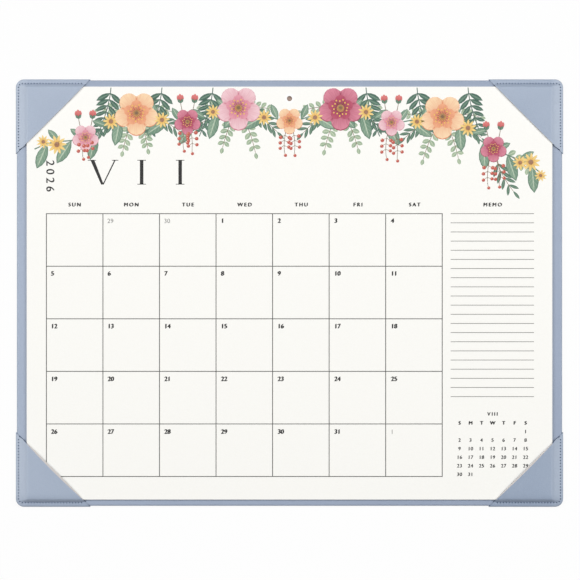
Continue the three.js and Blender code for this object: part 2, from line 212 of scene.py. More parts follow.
# Painted highlight at the ends: where it starts, as a share of the width, and how far it spreads.
PAINTED_HIGHLIGHT_FROM = 0.482
PAINTED_HIGHLIGHT_OVER = 2 * MM
GRAIN_TONE = screen_colour(120, 137, 165)
# The tones of the painted shade and of the painted highlight.
PAINTED_SHADE_TONE = screen_colour(96, 110, 134)
PAINTED_HIGHLIGHT_TONE = screen_colour(216, 224, 234)


def leatherette(name, upper, lower, far_shade, near_shade, side_painted_highlight):
    """Painted light: its tone is lighter at the upper left and darker at the lower right, as the light falls
    off.
    Its pebbles show in colour and relief.

    Along the far and the near side a painted shade deepens its tone, and at the ends a painted highlight
    lightens it. The painted light, patch and grain values are shares of a tone; the places where the
    painted shade and the painted highlight start are shares of the holder's size."""
    skin = Finish(name, roughness=0.5, specular=0.6)
    spot = skin.node("ShaderNodeSeparateXYZ", {}, {"Vector": skin.place()})
    rightward = spot[0] * (1 / HOLDER_WIDTH) + 0.5
    downward = 0.5 - spot[1] * (1 / HOLDER_DEPTH)
    # Painted light: the tone darkens from the upper left to the lower right, where less light falls.
    drift = rightward * (downward * PAINTED_FALLOFF_CORNER + PAINTED_FALLOFF_RIGHT) + downward * PAINTED_FALLOFF_DOWN
    patches = skin.spread(skin.noise(14, detail=3), -PATCH_SHARE, PATCH_SHARE)
    tone = skin.mix(drift + patches, upper, lower)
    # Painted shade along the far and the near side.
    edge = HOLDER_DEPTH * PAINTED_SHADE_FROM
    far = skin.ramp(spot[1], edge, edge + PAINTED_SHADE_OVER, 0, far_shade)
    near = skin.ramp(spot[1], -edge - PAINTED_SHADE_OVER, -edge + PAINTED_SHADE_FADE, near_shade, 0)
    # Painted highlight at the two ends.
    end = HOLDER_WIDTH * PAINTED_HIGHLIGHT_FROM
    painted_highlight = skin.ramp(abs(spot[0]), end - PAINTED_HIGHLIGHT_OVER, end + PAINTED_HIGHLIGHT_OVER, 0, side_painted_highlight)
    tone = skin.mix(painted_highlight, tone, PAINTED_HIGHLIGHT_TONE)
    tone = skin.mix(far + near, tone, PAINTED_SHADE_TONE)
    pebble = skin.node(
        "ShaderNodeTexVoronoi",
        {"feature": "SMOOTH_F1"},
        {"Vector": skin.place(), "Scale": GRAIN_CELLS, "Smoothness": 0.6},
    )[0]
    crease = skin.noise(1500, detail=3, roughness=0.6)
    skin.colour(skin.mix(pebble * GRAIN_SHARE, tone, GRAIN_TONE))
    skin.roughness(skin.spread(crease, 0.38, 0.54))
    skin.bump(crease * 0.5 - pebble, GRAIN_DEPTH)
    return skin


# Each pair holds the tone painted lit, at the upper left, and the tone painted shaded, at the lower right.
COVER_LIT_AND_SHADED_TONES = (screen_colour(162, 174, 193), screen_colour(148, 160, 181))
POCKET_LIT_AND_SHADED_TONES = (screen_colour(163, 175, 193), screen_colour(146, 160, 180))
# The cover has painted shade on its far and near rims; the pockets have painted shade mostly on the near side
# and a painted highlight at the ends.
cover_skin = leatherette(
    "leatherette_cover", *COVER_LIT_AND_SHADED_TONES, far_shade=0.29, near_shade=0.14, side_painted_highlight=0.0)
pocket_skin = leatherette(
    "leatherette_pocket", *POCKET_LIT_AND_SHADED_TONES, far_shade=0.03, near_shade=0.24, side_painted_highlight=0.15)
wear("holder_cover", cover_skin)

# Corner pockets: each is one piece of the same leatherette, folded under the holder and round its edge,
# sewn flat along the margin, then drawn up over the edge of the pad to a mouth at 45 degrees. The mouth
# is cut and not turned in, so its pale core shows over the page.
page_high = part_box("page_block")[1]
SKIN = 0.9 * MM
WRAP_GAP = 0.1 * MM
POCKET_REACH = 75.8 * MM
OUTER_RADIUS = 8.4 * MM
TOP_ROUND = 1.7 * MM
BOTTOM_ROUND = 1.9 * MM
SIDE_SEAM = 1.9 * MM
END_SEAM = 3.4 * MM
SEAM_DIP = 0.03 * MM
SEAM_HALF_WIDTH = 0.5 * MM
KNEE_ON_PAD = 0.3 * MM
SIDE_BEND = 1.6 * MM
END_BEND = 0.9 * MM
PAD_SLACK = 0.7 * MM
PILLOW = 0.4 * MM
PILLOW_REACH = 12 * MM
ROUND_STEPS = 6
BEND_STEPS = 6
PILLOW_STEPS = 5
CORNER_STEPS = 10
CORNER_POINT = 0.3 * MM
UNCUT_SHARE = 1.4
HEM_GAP = 0.3 * MM
MOUTH_ROWS = (0.6, 1.6, 3.2, 6, 10, 15, 21, 28, 36, 44)
MOUTH_PARTS = 12
MOUTH_OVER_RIM = 9 * MM
LIFT_REACH = 11 * MM
CUT_EDGE_REACH = 6 * MM
TIP_DRAW = 1.5 * MM
TIP_REACH = 12 * MM
# The painted shadow strip at the mouth's tips over the rims: how far back the edge is drawn, and from and to
# which share of the half mouth.
PAINTED_SHADOW_DRAW = 0.9 * MM
PAINTED_SHADOW_FROM = 0.86
PAINTED_SHADOW_TO = 0.975
FACES_MOUTH = -0.3
FACES_DOWN = -0.2

EDGE = SKIN + WRAP_GAP
SEAT = cover_high.z + SKIN
OUTER_CORNER = Vector((cover_high.x + EDGE, cover_high.y + EDGE, 0))
INTO_POCKET = Vector((1, 1, 0)).normalized()
ALONG_MOUTH = Vector((1, -1, 0)).normalized()
HALF_MOUTH = POCKET_REACH / math.sqrt(2)
HALF_OVER_PAD = HALF_MOUTH - MOUTH_OVER_RIM
MOUTH_END = Vector((cover_high.x - POCKET_REACH, cover_high.y, 0))
MOUTH_MIDDLE = MOUTH_END + ALONG_MOUTH * HALF_MOUTH


def deselect_all():
    bpy.ops.object.select_all(action="DESELECT")


def take(piece):
    """The piece alone is selected, and is the active one."""
    deselect_all()
    bpy.context.view_layer.objects.active = piece
    piece.select_set(True)


def edit_all(piece):
    """The piece alone, in edit mode, all selected."""
    take(piece)
    bpy.ops.object.mode_set(mode="EDIT")
    bpy.ops.mesh.select_mode(type="VERT")
    bpy.ops.mesh.select_all(action="SELECT")


def object_mode():
    bpy.ops.object.mode_set(mode="OBJECT")


def joined(pieces):
    deselect_all()
    for piece in pieces:
        piece.select_set(True)
    bpy.context.view_layer.objects.active = pieces[0]
    bpy.ops.object.join()
    return pieces[0]


def apply_modifier(piece, kind, **settings):
    take(piece)
    modifier = piece.modifiers.new(kind.lower(), kind)
    for name, value in settings.items():
        setattr(modifier, name, value)
    bpy.ops.object.modifier_apply(modifier=modifier.name)


def settle(piece, name, slot, finish, *replaced):
    """The finished piece takes its name, place, finish and body, and the CAD nodes that it stands for are
    hidden.
    """
    take(piece)
    bpy.ops.object.transform_apply(location=True, rotation=True, scale=True)
    piece.name = name
    piece.data.materials.clear()
    piece.data.materials.append(finish.material)
    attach(piece, "root")
    if replaced:
        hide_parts(*replaced)


def pocket_levels(seam_in, pad_rim, bend):
    """From the outer edge inwards: (distance, height) of the outer side at each ring."""
    over_pad = page_high.z + PAD_SLACK + SKIN
    upper = []
    for step in range(ROUND_STEPS + 1):
        turn = step / ROUND_STEPS * math.pi / 2
        upper.append((TOP_ROUND * (1 - math.cos(turn)), SEAT - TOP_ROUND * (1 - math.sin(turn))))
    seam = EDGE + seam_in
    for share in (-1, -0.4, 0, 0.4, 1):
        upper.append((seam + SEAM_HALF_WIDTH * share, SEAT - SEAM_DIP * (1 - share ** 2)))
    start = seam + SEAM_HALF_WIDTH
    knee = EDGE + pad_rim + KNEE_ON_PAD
    pillow_slope = 2 * PILLOW / PILLOW_REACH
    steepness = (over_pad - SEAT) / (knee - start) - pillow_slope
    for step in range(BEND_STEPS + 1):
        past_knee = bend * (step / BEND_STEPS * 2 - 1)
        cut_off = steepness * (bend - past_knee) ** 2 / (4 * bend)
        upper.append((knee + past_knee, over_pad - cut_off + pillow_slope * past_knee))
    bend_end, bend_height = upper[-1]
    for step in range(1, PILLOW_STEPS + 1):
        share = step / PILLOW_STEPS
        upper.append((bend_end + PILLOW_REACH * share, bend_height + PILLOW * (1 - (1 - share) ** 2)))
    return upper


def start_face(height):
    """A square of leatherette, left in edit mode, with its outer corner rounded."""
    size = POCKET_REACH * UNCUT_SHARE
    middle = OUTER_CORNER - Vector((size / 2, size / 2, 0))
    deselect_all()
    bpy.ops.mesh.primitive_plane_add(size=size, location=(middle.x, middle.y, height))
    face = bpy.context.object
    bpy.ops.object.transform_apply(location=True, rotation=True, scale=True)
    edit_all(face)
    bpy.ops.mesh.select_all(action="DESELECT")
    object_mode()
    for vertex in face.data.vertices:
        vertex.select = vertex.co.x > OUTER_CORNER.x - MM and vertex.co.y > OUTER_CORNER.y - MM
    bpy.ops.object.mode_set(mode="EDIT")
    bpy.ops.mesh.bevel(offset=OUTER_RADIUS, segments=CORNER_STEPS, affect="VERTICES")
    bpy.ops.mesh.select_all(action="SELECT")
    return face


def ring_in(step_side, step_end, rise):
    """One more ring: the whole inner face moves in by the smaller step, then the side by the rest."""
    bpy.ops.mesh.inset(thickness=max(step_end, 1e-6), depth=0)
    bpy.ops.transform.translate(value=(0, 0, rise))
    if abs(step_side - step_end) > 1e-7:
        bpy.ops.transform.translate(value=(step_end - step_side, 0, 0))


def pocket_top(side_levels, end_levels):
    """From the outer edge over the rim and the pad, ring by ring."""
    top = start_face(end_levels[0][1])
    for before_side, side, before_end, end in zip(side_levels, side_levels[1:], end_levels, end_levels[1:]):
        ring_in(side[0] - before_side[0], end[0] - before_end[0], end[1] - before_end[1])
        if abs(OUTER_RADIUS - end[0]) < CORNER_POINT:
            bpy.ops.mesh.remove_doubles(threshold=CORNER_POINT * 2)
    object_mode()
    return top


def pocket_hem():
    """From the outer edge round the holder's lower edge to the end of the hem."""
    hem = start_face(BOTTOM_ROUND)
    for step in range(1, ROUND_STEPS + 1):
        turn = (step - 1) / ROUND_STEPS * math.pi / 2
        next_turn = step / ROUND_STEPS * math.pi / 2
        inward = BOTTOM_ROUND * (math.cos(turn) - math.cos(next_turn))
        ring_in(inward, inward, -BOTTOM_ROUND * (math.sin(next_turn) - math.sin(turn)))
    hem_left = OUTER_RADIUS - BOTTOM_ROUND - HEM_GAP
    ring_in(hem_left, hem_left, 0)
    bpy.ops.mesh.delete(type="FACE")
    object_mode()
    return hem


def bridge_outer_edge(shell, top_height):
    """The upright band between the pocket's top and its hem. Leaves the shell in edit mode."""
    edit_all(shell)
    bpy.ops.mesh.select_all(action="DESELECT")
    object_mode()
    for line in shell.data.edges:
        heights = {round(shell.data.vertices[index].co.z, 7) for index in line.vertices}
        line.select = heights in ({round(top_height, 7)}, {round(BOTTOM_ROUND, 7)})
    bpy.ops.object.mode_set(mode="EDIT")
    bpy.ops.mesh.select_mode(type="EDGE")
    bpy.ops.mesh.bridge_edge_loops()


def cut_mouth():
    """The straight cut at 45 degrees, with rows of faces that get finer towards it."""
    bpy.ops.mesh.select_all(action="SELECT")
    bpy.ops.mesh.bisect(plane_co=MOUTH_END, plane_no=INTO_POCKET, clear_inner=True)
    for depth in MOUTH_ROWS:
        bpy.ops.mesh.select_all(action="SELECT")
        bpy.ops.mesh.bisect(plane_co=MOUTH_END + INTO_POCKET * depth * MM, plane_no=INTO_POCKET)
    for index in range(1 - MOUTH_PARTS, MOUTH_PARTS):
        spot = MOUTH_MIDDLE + ALONG_MOUTH * HALF_MOUTH * index / MOUTH_PARTS
        bpy.ops.mesh.select_all(action="SELECT")
        bpy.ops.mesh.bisect(plane_co=spot, plane_no=ALONG_MOUTH)
    bpy.ops.mesh.select_all(action="SELECT")
    bpy.ops.mesh.remove_doubles(threshold=0.00001)
    bpy.ops.mesh.normals_make_consistent(inside=False)
    object_mode()


def mouth_spot(vertex):
    """How far the vertex lies in from the mouth, and how far along it from its middle."""
    return (vertex.co - MOUTH_END).dot(INTO_POCKET), (vertex.co - MOUTH_MIDDLE).dot(ALONG_MOUTH)


def lift_mouth(shell, mouth_lift, top_height):
    """Over the pad the middle of the mouth stands up, or lies closer where the lift is below zero."""
    for vertex in shell.data.vertices:
        inward, along = mouth_spot(vertex)
        if vertex.co.z > SEAT and abs(along) < HALF_OVER_PAD:
            swell = math.exp(-inward / LIFT_REACH) * math.cos(along / HALF_OVER_PAD * math.pi / 2) ** 1.3
            vertex.co.z += mouth_lift * swell * (vertex.co.z - SEAT) / (top_height - SEAT)


def draw_back_outside(shell, outer_points, bare_edge):
    """The outer side is drawn back at the mouth, so that the cut edge slants and shows from above."""
    for vertex in shell.data.vertices[:outer_points]:
        inward, along = mouth_spot(vertex)
        drawn_back = 0
        if abs(along) < HALF_OVER_PAD:
            drawn_back = bare_edge * math.cos(along / HALF_OVER_PAD * math.pi / 2) ** 0.7
        # Near the tips the edge is drawn back further, to widen the painted shadow strip over the rims.
        if PAINTED_SHADOW_FROM < abs(along) / HALF_MOUTH < PAINTED_SHADOW_TO:
            drawn_back = PAINTED_SHADOW_DRAW
        if vertex.co.z > SEAT and inward < CUT_EDGE_REACH:
            vertex.co += INTO_POCKET * drawn_back * (1 - inward / CUT_EDGE_REACH)


def draw_in_tips(shell):
    """The pull of the seam draws the two ends of the mouth in a little."""
    for vertex in shell.data.vertices:
        inward, along = mouth_spot(vertex)
        drawn_in = TIP_DRAW * min(abs(along) / HALF_MOUTH, 1) ** 3 * math.exp(-max(inward, 0) / TIP_REACH)
        if along < 0:
            vertex.co.x += drawn_in
        else:
            vertex.co.y += drawn_in


def pocket_shell(sign_x, sign_y, mouth_lift, bare_edge):
    """The pocket's outer side is built at the corner of +X and +Y, cut at the mouth, then thickened."""
    side_levels = pocket_levels(SIDE_SEAM, cover_high.x - page_high.x, SIDE_BEND)
    end_levels = pocket_levels(END_SEAM, cover_high.y - page_high.y, END_BEND)
    shell = joined([pocket_top(side_levels, end_levels), pocket_hem()])
    bridge_outer_edge(shell, end_levels[0][1])
    cut_mouth()
    highest = max(shell.data.polygons, key=lambda face: face.center.z)
    if highest.normal.z < 0:
        shell.data.flip_normals()
    lift_mouth(shell, mouth_lift, end_levels[-1][1])
    outer_points = len(shell.data.vertices)
    apply_modifier(shell, "SOLIDIFY", thickness=SKIN, offset=-1, use_even_offset=True)
    draw_back_outside(shell, outer_points, bare_edge)
    draw_in_tips(shell)
    for vertex in shell.data.vertices:
        vertex.co.x *= sign_x
        vertex.co.y *= sign_y
    if sign_x * sign_y < 0:
        edit_all(shell)
        bpy.ops.mesh.flip_normals()
        object_mode()
    take(shell)
    bpy.ops.object.shade_smooth_by_angle(angle=math.radians(25))
    return shell


def show_cut_edge(shell, sign_x, sign_y):
    """The mouth's cut faces away from the corner: it is bare over the pad, and over the rims it takes a dark
    finish that is painted shadow.
    """
    shell.data.materials.append(cut_edge.material)
    shell.data.materials.append(shadowed_edge.material)
    outward = Vector((sign_x, sign_y, 0)).normalized()
    for face in shell.data.polygons:
        at_mouth = face.normal.dot(outward) < FACES_MOUTH and face.center.z > cover_high.z
        if at_mouth and face.normal.z > FACES_DOWN:
            on_page = abs(face.center.x) < page_high.x and abs(face.center.y) < page_high.y
            face.material_index = 1 if on_page else 2


cut_edge = Finish("leather_cut_edge", roughness=0.9, specular=0.1)
cut_edge.colour(screen_colour(204, 199, 196))
# Painted shadow: a dark slate finish on the cut edge over the rims, where shade falls under the raised mouth.
shadowed_edge = Finish("leather_shadowed_edge", roughness=0.9, specular=0.1)
shadowed_edge.colour(screen_colour(72, 86, 110))
CORNERS = {
    "top_left": (-1, 1, -0.5 * MM, 0.4 * MM),
    "top_right": (1, 1, -0.5 * MM, 0.5 * MM),
    "bottom_left": (-1, -1, 0.4 * MM, 1.9 * MM),
    "bottom_right": (1, -1, 0.4 * MM, 1.9 * MM),
}
for corner_name, (sign_x, sign_y, lift, bare_edge) in CORNERS.items():
    shell = pocket_shell(sign_x, sign_y, lift, bare_edge)
    settle(shell, "leather_" + corner_name, "leatherette", pocket_skin, "pocket_" + corner_name)
    show_cut_edge(shell, sign_x, sign_y)

# Seams: a thread in a darker slate blue runs round each pocket's margin in even stitches.
# Each stitch lies in the groove that it pulls into the leatherette and dips at both ends.
STITCH_PITCH = 3.02 * MM
STITCH_LENGTH = 1.1 * MM
STITCH_WIDTH = 1.4 * MM
STITCH_DIP = 0.3 * MM
SEAM_ENDS_BEFORE_MOUTH = 6 * MM

thread = Finish("seam_thread", roughness=0.7, specular=0.3, sheen=0.1)
thread_twist = thread.spread(thread.noise(2600, detail=2), 0, 1)
thread.colour(thread.mix(thread_twist, screen_colour(46, 62, 90), screen_colour(66, 82, 110)))
thread.bump(thread.noise(5000), 0.04 * MM)


def one_stitch():
    """A short length of thread, rounder in its middle, whose ends go down into the leatherette."""
    deselect_all()
    bpy.ops.mesh.primitive_cylinder_add(
        vertices=8, radius=STITCH_WIDTH / 2, depth=STITCH_LENGTH, rotation=(0, math.pi / 2, 0))
    stitch = bpy.context.object
    bpy.ops.object.transform_apply(location=True, rotation=True, scale=True)
    edit_all(stitch)
    for share in (-0.3, 0, 0.3):
        bpy.ops.mesh.select_all(action="SELECT")
        bpy.ops.mesh.bisect(plane_co=(STITCH_LENGTH * share, 0, 0), plane_no=(1, 0, 0))
    object_mode()
    for vertex in stitch.data.vertices:
        share = vertex.co.x / (STITCH_LENGTH / 2)
        vertex.co.z -= STITCH_DIP * share ** 4
        vertex.co.y *= 1 - 0.35 * share ** 2
    bpy.ops.object.shade_smooth()
    return stitch


def stamped(name, pattern, places):
    """One mesh made of a copy of the pattern at each place."""
    gathered = bmesh.new()
    for place in places:
        stamp = pattern.data.copy()
        stamp.transform(place)
        gathered.from_mesh(stamp)
        bpy.data.meshes.remove(stamp)
    mesh = bpy.data.meshes.new(name)
    gathered.to_mesh(mesh)
    gathered.free()
    piece = bpy.data.objects.new(name, mesh)
    bpy.context.collection.objects.link(piece)
    return piece


def seam_places(sign_x, sign_y):
    """Places along the seam from one end of the mouth, round the corner, to the other end."""
    edge_x = cover_high.x - SIDE_SEAM
    edge_y = cover_high.y - END_SEAM
    radius = OUTER_RADIUS - EDGE - END_SEAM
    straight = POCKET_REACH - SIDE_SEAM - END_SEAM - radius - SEAM_ENDS_BEFORE_MOUTH
    arc = radius * math.pi / 2
    height = SEAT - SEAM_DIP * 0.35
    places = []
    stitches = int((straight * 2 + arc) / STITCH_PITCH)
    for index in range(stitches + 1):
        travelled = (straight * 2 + arc) * index / stitches
        if travelled < straight:
            spot = (edge_x, edge_y - radius - straight + travelled)
            heading = math.pi / 2
        elif travelled < straight + arc:
            turn = (travelled - straight) / radius
            spot = (edge_x - radius + radius * math.cos(turn), edge_y - radius + radius * math.sin(turn))
            heading = math.pi / 2 + turn
        else:
            spot = (edge_x - radius - (travelled - straight - arc), edge_y)
            heading = math.pi
        turned = Matrix.Rotation(heading, 4, "Z")
        mirror = Matrix.Diagonal((sign_x, sign_y, 1, 1))
        places.append(mirror @ Matrix.Translation((spot[0], spot[1], height)) @ turned)
    return places


stitch = one_stitch()
for corner_name, (sign_x, sign_y, lift, bare_edge) in CORNERS.items():
    seam = stamped("seam_" + corner_name, stitch, seam_places(sign_x, sign_y))
    if sign_x * sign_y < 0:
        seam.data.flip_normals()
    settle(seam, "seam_" + corner_name, "leatherette", thread)
    seam.data.shade_smooth()
bpy.data.objects.remove(stitch)

# Page block: a pad of uncoated white sheets, trimmed square and punched once near the top edge.
# The cut edges show the sheets as fine lines, one above the next.
SHEET = 0.11 * MM

paper = Finish("paper", roughness=0.8, specular=0.25)
paper_tooth = paper.spread(paper.noise(1200, detail=4), 0, 1)
paper_face = paper.mix(paper_tooth, screen_colour(249, 248, 243), screen_colour(252, 251, 247))
side_on = paper.node("ShaderNodeSeparateXYZ", {}, {"Vector": paper.node("ShaderNodeNewGeometry", {}, {})[1]})
height = paper.node("ShaderNodeSeparateXYZ", {}, {"Vector": paper.place()})[2]
# Painted shade: a darker line between each two sheets on the upright cut edges.
sheet_line = paper.fold(height, SHEET / 2)
upright = 1 - (abs(side_on[2]) > 0.5)
edge_shade = upright * (1 - sheet_line * (2 / SHEET)) * 0.5
paper.colour(paper.mix(edge_shade, paper_face, screen_colour(196, 193, 186)))
paper.bump(paper.noise(3500, detail=3), 0.015 * MM)
wear("page_block", paper)

# Ruled print: the day grid, the note lines and the ring round the hole are printed on the top sheet.
# The ink is matt and soaks into the paper a little unevenly.
INK = 0.012 * MM


def ink(name, colour, shift=0.06):
    """Printed ink: its tone varies a little with the tooth of the paper."""
    printed = Finish(name, roughness=0.82, specular=0.2)
    tooth = printed.spread(printed.noise(1400, detail=4), 0, 1)
    paler = tuple(value + (1 - value) * shift for value in colour[:3]) + (1.0,)
    printed.colour(printed.mix(tooth, colour, paler))
    printed.bump(printed.noise(3500, detail=3), 0.015 * MM)
    return printed


grid_ink = ink("grid_ink", screen_colour(60, 60, 58))
rule_ink = ink("rule_ink", screen_colour(102, 102, 99))
ring_ink = ink("ring_ink", screen_colour(254, 254, 252), shift=0.0)
wear("print_day_grid", grid_ink)
wear("print_hole_ring", ring_ink)
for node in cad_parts:
    if node.startswith("print_note_line"):
        wear(node, rule_ink)

# Fronds: six feathery sprays in dark green ink hang from the top of the page, behind the garland.
# Their leaflets stand in pairs that get shorter towards the tip, each with a paler rib.
INNER_SHARE = 0.94
FROND_LENGTH = 50 * MM
FROND_SLANT = 0.28
FROND_STEM = 0.9 * MM
FROND_PAIRS = 7
FROND_LEAFLET = 17 * MM
FROND_LEAN = 0.95
FROND_TAPER = 0.6
SWAG_WIDTH = 104.4 * MM
frond_ink = ink("frond_ink", screen_colour(66, 98, 86))


def painted_leaf(name, face, shadow, vein, veins):
    """Ink for a leaf with its own UV map: a pale rib, slanted side veins, and one half in shadow."""
    printed = Finish(name, roughness=0.82, specular=0.2)
    along, across = printed.own_map()
    from_rib = abs(across - 0.5) * 2
    side_vein = printed.fold(along * veins - from_rib * 1.2, 0.5) > 0.42
    drift = printed.spread(printed.noise(45), 0, 0.45)
    shade = printed.mix((across > 0.5) * 0.3 + (1 - along) * 0.3 + drift, face, shadow)
    printed.colour(printed.mix((from_rib < 0.13) * 0.75 + side_vein * 0.32, shade, vein))
    return printed


def painted_shape(steps, columns, place):
    """A flat shape one unit long along +X. Its own UV map runs along it and across it."""
    deselect_all()
    bpy.ops.mesh.primitive_grid_add(x_subdivisions=steps, y_subdivisions=columns, size=2)
    shape = bpy.context.object
    for vertex in shape.data.vertices:
        vertex.co.x, vertex.co.y = place((vertex.co.x + 1) / 2, vertex.co.y)
    edit_all(shape)
    bpy.ops.mesh.remove_doubles(threshold=0.00001)
    object_mode()
    return shape


def leaf_place(slimness):
    """A leaf's two edges leave its root at a slant, are widest past the middle and meet in a point."""
    def place(share, side):
        left = 1 - share
        along = 0.9 * left ** 2 * share + 2.1 * left * share ** 2 + share ** 3
        return along, side * slimness * (3 * left ** 2 * share + 3.9 * left * share ** 2)
    return place


def joints_on(curve, count):
    """The spot and heading at each even joint of a stem that grows along a curve."""
    for joint in range(count + 1):
        share = joint / count
        ahead = curve(min(share + 0.005, 1)) - curve(max(share - 0.005, 0))
        yield joint, share, curve(share), math.atan2(ahead.y, ahead.x)


def beside(spot, heading, distance):
    return spot + Vector((-math.sin(heading), math.cos(heading))) * distance


def set_down(spot, heading, length, layer):
    """The place of a unit shape with its root on the spot."""
    turned = Matrix.Rotation(heading, 4, "Z") @ Matrix.Diagonal((length, length, 1, 1))
    return Matrix.Translation((spot.x, spot.y, layer)) @ turned


HAIR = INK / 6
HAIRS = 9


def printed_piece(name, slot, finish, pattern, places):
    """The pattern stamped at each place, each a hair above the last, with the thickness of ink."""
    raised = [Matrix.Translation((0, 0, index % HAIRS * HAIR)) @ place for index, place in enumerate(places)]
    piece = stamped(name, pattern, raised)
    apply_modifier(piece, "SOLIDIFY", thickness=INK, offset=1)
    settle(piece, name, slot, finish)


frond_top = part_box("print_frond_left_1")[1].z
leaflet_places = []
for number in (1, 2, 3):
    for direction, side_name in ((-1, "left"), (1, "right")):
        wear(f"print_frond_{side_name}_{number}", frond_ink)
        root_x = direction * SWAG_WIDTH * (0.25 + number / 2)

        def hanging(share):
            drift = direction * FROND_LENGTH * FROND_SLANT * share ** 1.5
            return Vector((root_x + drift, page_high.y - FROND_STEM - FROND_LENGTH * share))

        for joint, share, spot, heading in joints_on(hanging, FROND_PAIRS + 1):
            if 0 < joint <= FROND_PAIRS:
                for side in (-1, 1):
                    root = beside(spot, heading, side * FROND_STEM / 2)
                    length = FROND_LEAFLET * (1 - FROND_TAPER * share) * INNER_SHARE
                    leaflet_places.append(set_down(root, heading + side * FROND_LEAN, length, frond_top))
leaflet = painted_shape(8, 2, leaf_place(0.17))
leaflet_ink = painted_leaf(
    "leaflet_ink", screen_colour(92, 124, 108), screen_colour(66, 96, 84), screen_colour(150, 174, 156), 0)
printed_piece("frond_leaflets", "dark_green_ink", leaflet_ink, leaflet, leaflet_places)
bpy.data.objects.remove(leaflet)

# Garland: a sage green stem hangs in five swags and drops at both ends, with a leaf at each joint.
# Each leaf is printed over the flat tone with its rib and veins, and leaves a thin darker edge.
BORDER_HALF = 261 * MM
SWAG_DROP = 13 * MM
STEM_FROM_TOP = 22 * MM
LEFT_END_DROP = 42 * MM
RIGHT_END_DROP = 70 * MM
GARLAND_STEM = 1.2 * MM
GARLAND_JOINTS = 21
GARLAND_LEAN = 0.9
UPPER_LEAF = 16 * MM
LOWER_LEAF = 27 * MM


def garland_spot(x):
    swag = (1 - math.cos((x + BORDER_HALF) / SWAG_WIDTH * math.tau)) / 2
    end_drop = LEFT_END_DROP if x < 0 else RIGHT_END_DROP
    fall = STEM_FROM_TOP + SWAG_DROP * swag + end_drop * abs(x / BORDER_HALF) ** 4
    return Vector((x, page_high.y - fall))


garland_ink = ink("garland_ink", screen_colour(98, 130, 110))
wear("print_garland_left", garland_ink)
wear("print_garland_right", garland_ink)
garland_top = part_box("print_garland_left")[1].z
garland_leaf_places = []
for direction in (-1, 1):
    def outward(share):
        return garland_spot(direction * BORDER_HALF * share)

    for joint, share, spot, heading in joints_on(outward, GARLAND_JOINTS):
        if 0 < joint < GARLAND_JOINTS:
            upper = joint % 2 == 1
            side = direction if upper else -direction
            root = beside(spot, heading, side * GARLAND_STEM / 2)
            length = (UPPER_LEAF if upper else LOWER_LEAF) * INNER_SHARE
            garland_leaf_places.append(set_down(root, heading + side * GARLAND_LEAN, length, garland_top))
garland_leaf = painted_shape(10, 2, leaf_place(0.21))
leaf_ink = painted_leaf(
    "leaf_ink", screen_colour(146, 172, 150), screen_colour(104, 136, 116), screen_colour(196, 210, 188), 6)
printed_piece("garland_leaves", "green_ink", leaf_ink, garland_leaf, garland_leaf_places)
bpy.data.objects.remove(garland_leaf)

# Twigs: slim willow twigs and sprigs of round leaves spread from behind the blossoms.
# They are the first layer of the print, on brown stems.
TWIG_LEAF = 15 * MM
ROUND_LEAF = 9.5 * MM
TWIG_STEM = 0.8 * MM
SPRIG_LENGTHS = (40 * MM, 47 * MM, 47 * MM, 47 * MM)
UPPER_SPRIG = 38 * MM
WILLOW_TWIG = 45 * MM
END_TWIG = 46 * MM
sheet_top = page_high.z
loose = random.Random(11)
stem_ink = ink("stem_ink", screen_colour(128, 100, 72))
stems = []


def curled(root, heading, length, curl):
    """A stem that leaves its root at the heading and turns evenly by curl along its length."""
    bend = length / curl

    def curve(share):
        turned = heading + curl * share
        run = Vector((math.sin(turned) - math.sin(heading), math.cos(heading) - math.cos(turned)))
        return root + run * bend
    return curve


def grow_stem(curve, width, layer):
    """A strip along the curve that is a little narrower at its tip, kept to be joined with the others."""
    def place(share, side):
        ahead = curve(min(share + 0.01, 1)) - curve(max(share - 0.01, 0))
        edge = beside(curve(share), math.atan2(ahead.y, ahead.x), side * width * (0.5 - 0.2 * share))
        return edge.x, edge.y
    strip = painted_shape(10, 1, place)
    strip.location.z = layer + len(stems) % HAIRS * HAIR
    stems.append(strip)


def grow_twig(root, heading, length, curl, pairs, leaf, lean, places):
    """A twig with a pair of leaves at each joint and one at its tip."""
    curve = curled(root, heading + loose.uniform(-0.1, 0.1), length * loose.uniform(0.92, 1.08), curl)
    grow_stem(curve, TWIG_STEM, sheet_top)
    for joint, share, spot, along in joints_on(curve, pairs):
        if joint > 1:
            size = leaf * (1.1 - 0.4 * share)
            for turn in ((0.0,) if joint == pairs else (lean, -lean)):
                leaf_heading = along + turn * loose.uniform(0.85, 1.15)
                places.append(set_down(spot, leaf_heading, size, sheet_top))


BLOSSOMS = 9
WIDEST_PETAL_TURN = math.radians(108)
blossoms = []
for number in range(1, BLOSSOMS + 1):
    low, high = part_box(f"print_blossom_{number:02d}")
    radius = (high.x - low.x) / 2 / math.sin(WIDEST_PETAL_TURN)
    blossoms.append((Vector(((low.x + high.x) / 2, low.y + radius)), radius))
large_blossoms = blossoms[1::2]
small_blossoms = blossoms[0::2]
willow_places = []
round_places = []
for (centre, radius), sprig_length in zip(large_blossoms, SPRIG_LENGTHS):
    for side in (-1, 1):
        def heading(degrees_below):
            return math.radians(270 + side * (90 - degrees_below))
        grow_twig(centre, heading(14), WILLOW_TWIG, side * -0.5, 7, TWIG_LEAF, 0.6, willow_places)
        grow_twig(centre, heading(58), sprig_length, side * -0.3, 7, ROUND_LEAF, 1.0, round_places)
        grow_twig(centre, heading(-14), UPPER_SPRIG, side * -0.5, 6, ROUND_LEAF * 0.9, 0.9, round_places)
last_centre = small_blossoms[-1][0]
grow_twig(last_centre, math.radians(278), END_TWIG, 0.5, 6, TWIG_LEAF, 0.6, willow_places)
grow_twig(last_centre, math.radians(335), END_TWIG, -0.4, 6, ROUND_LEAF, 1.0, round_places)
willow_leaf = painted_shape(8, 2, leaf_place(0.16))
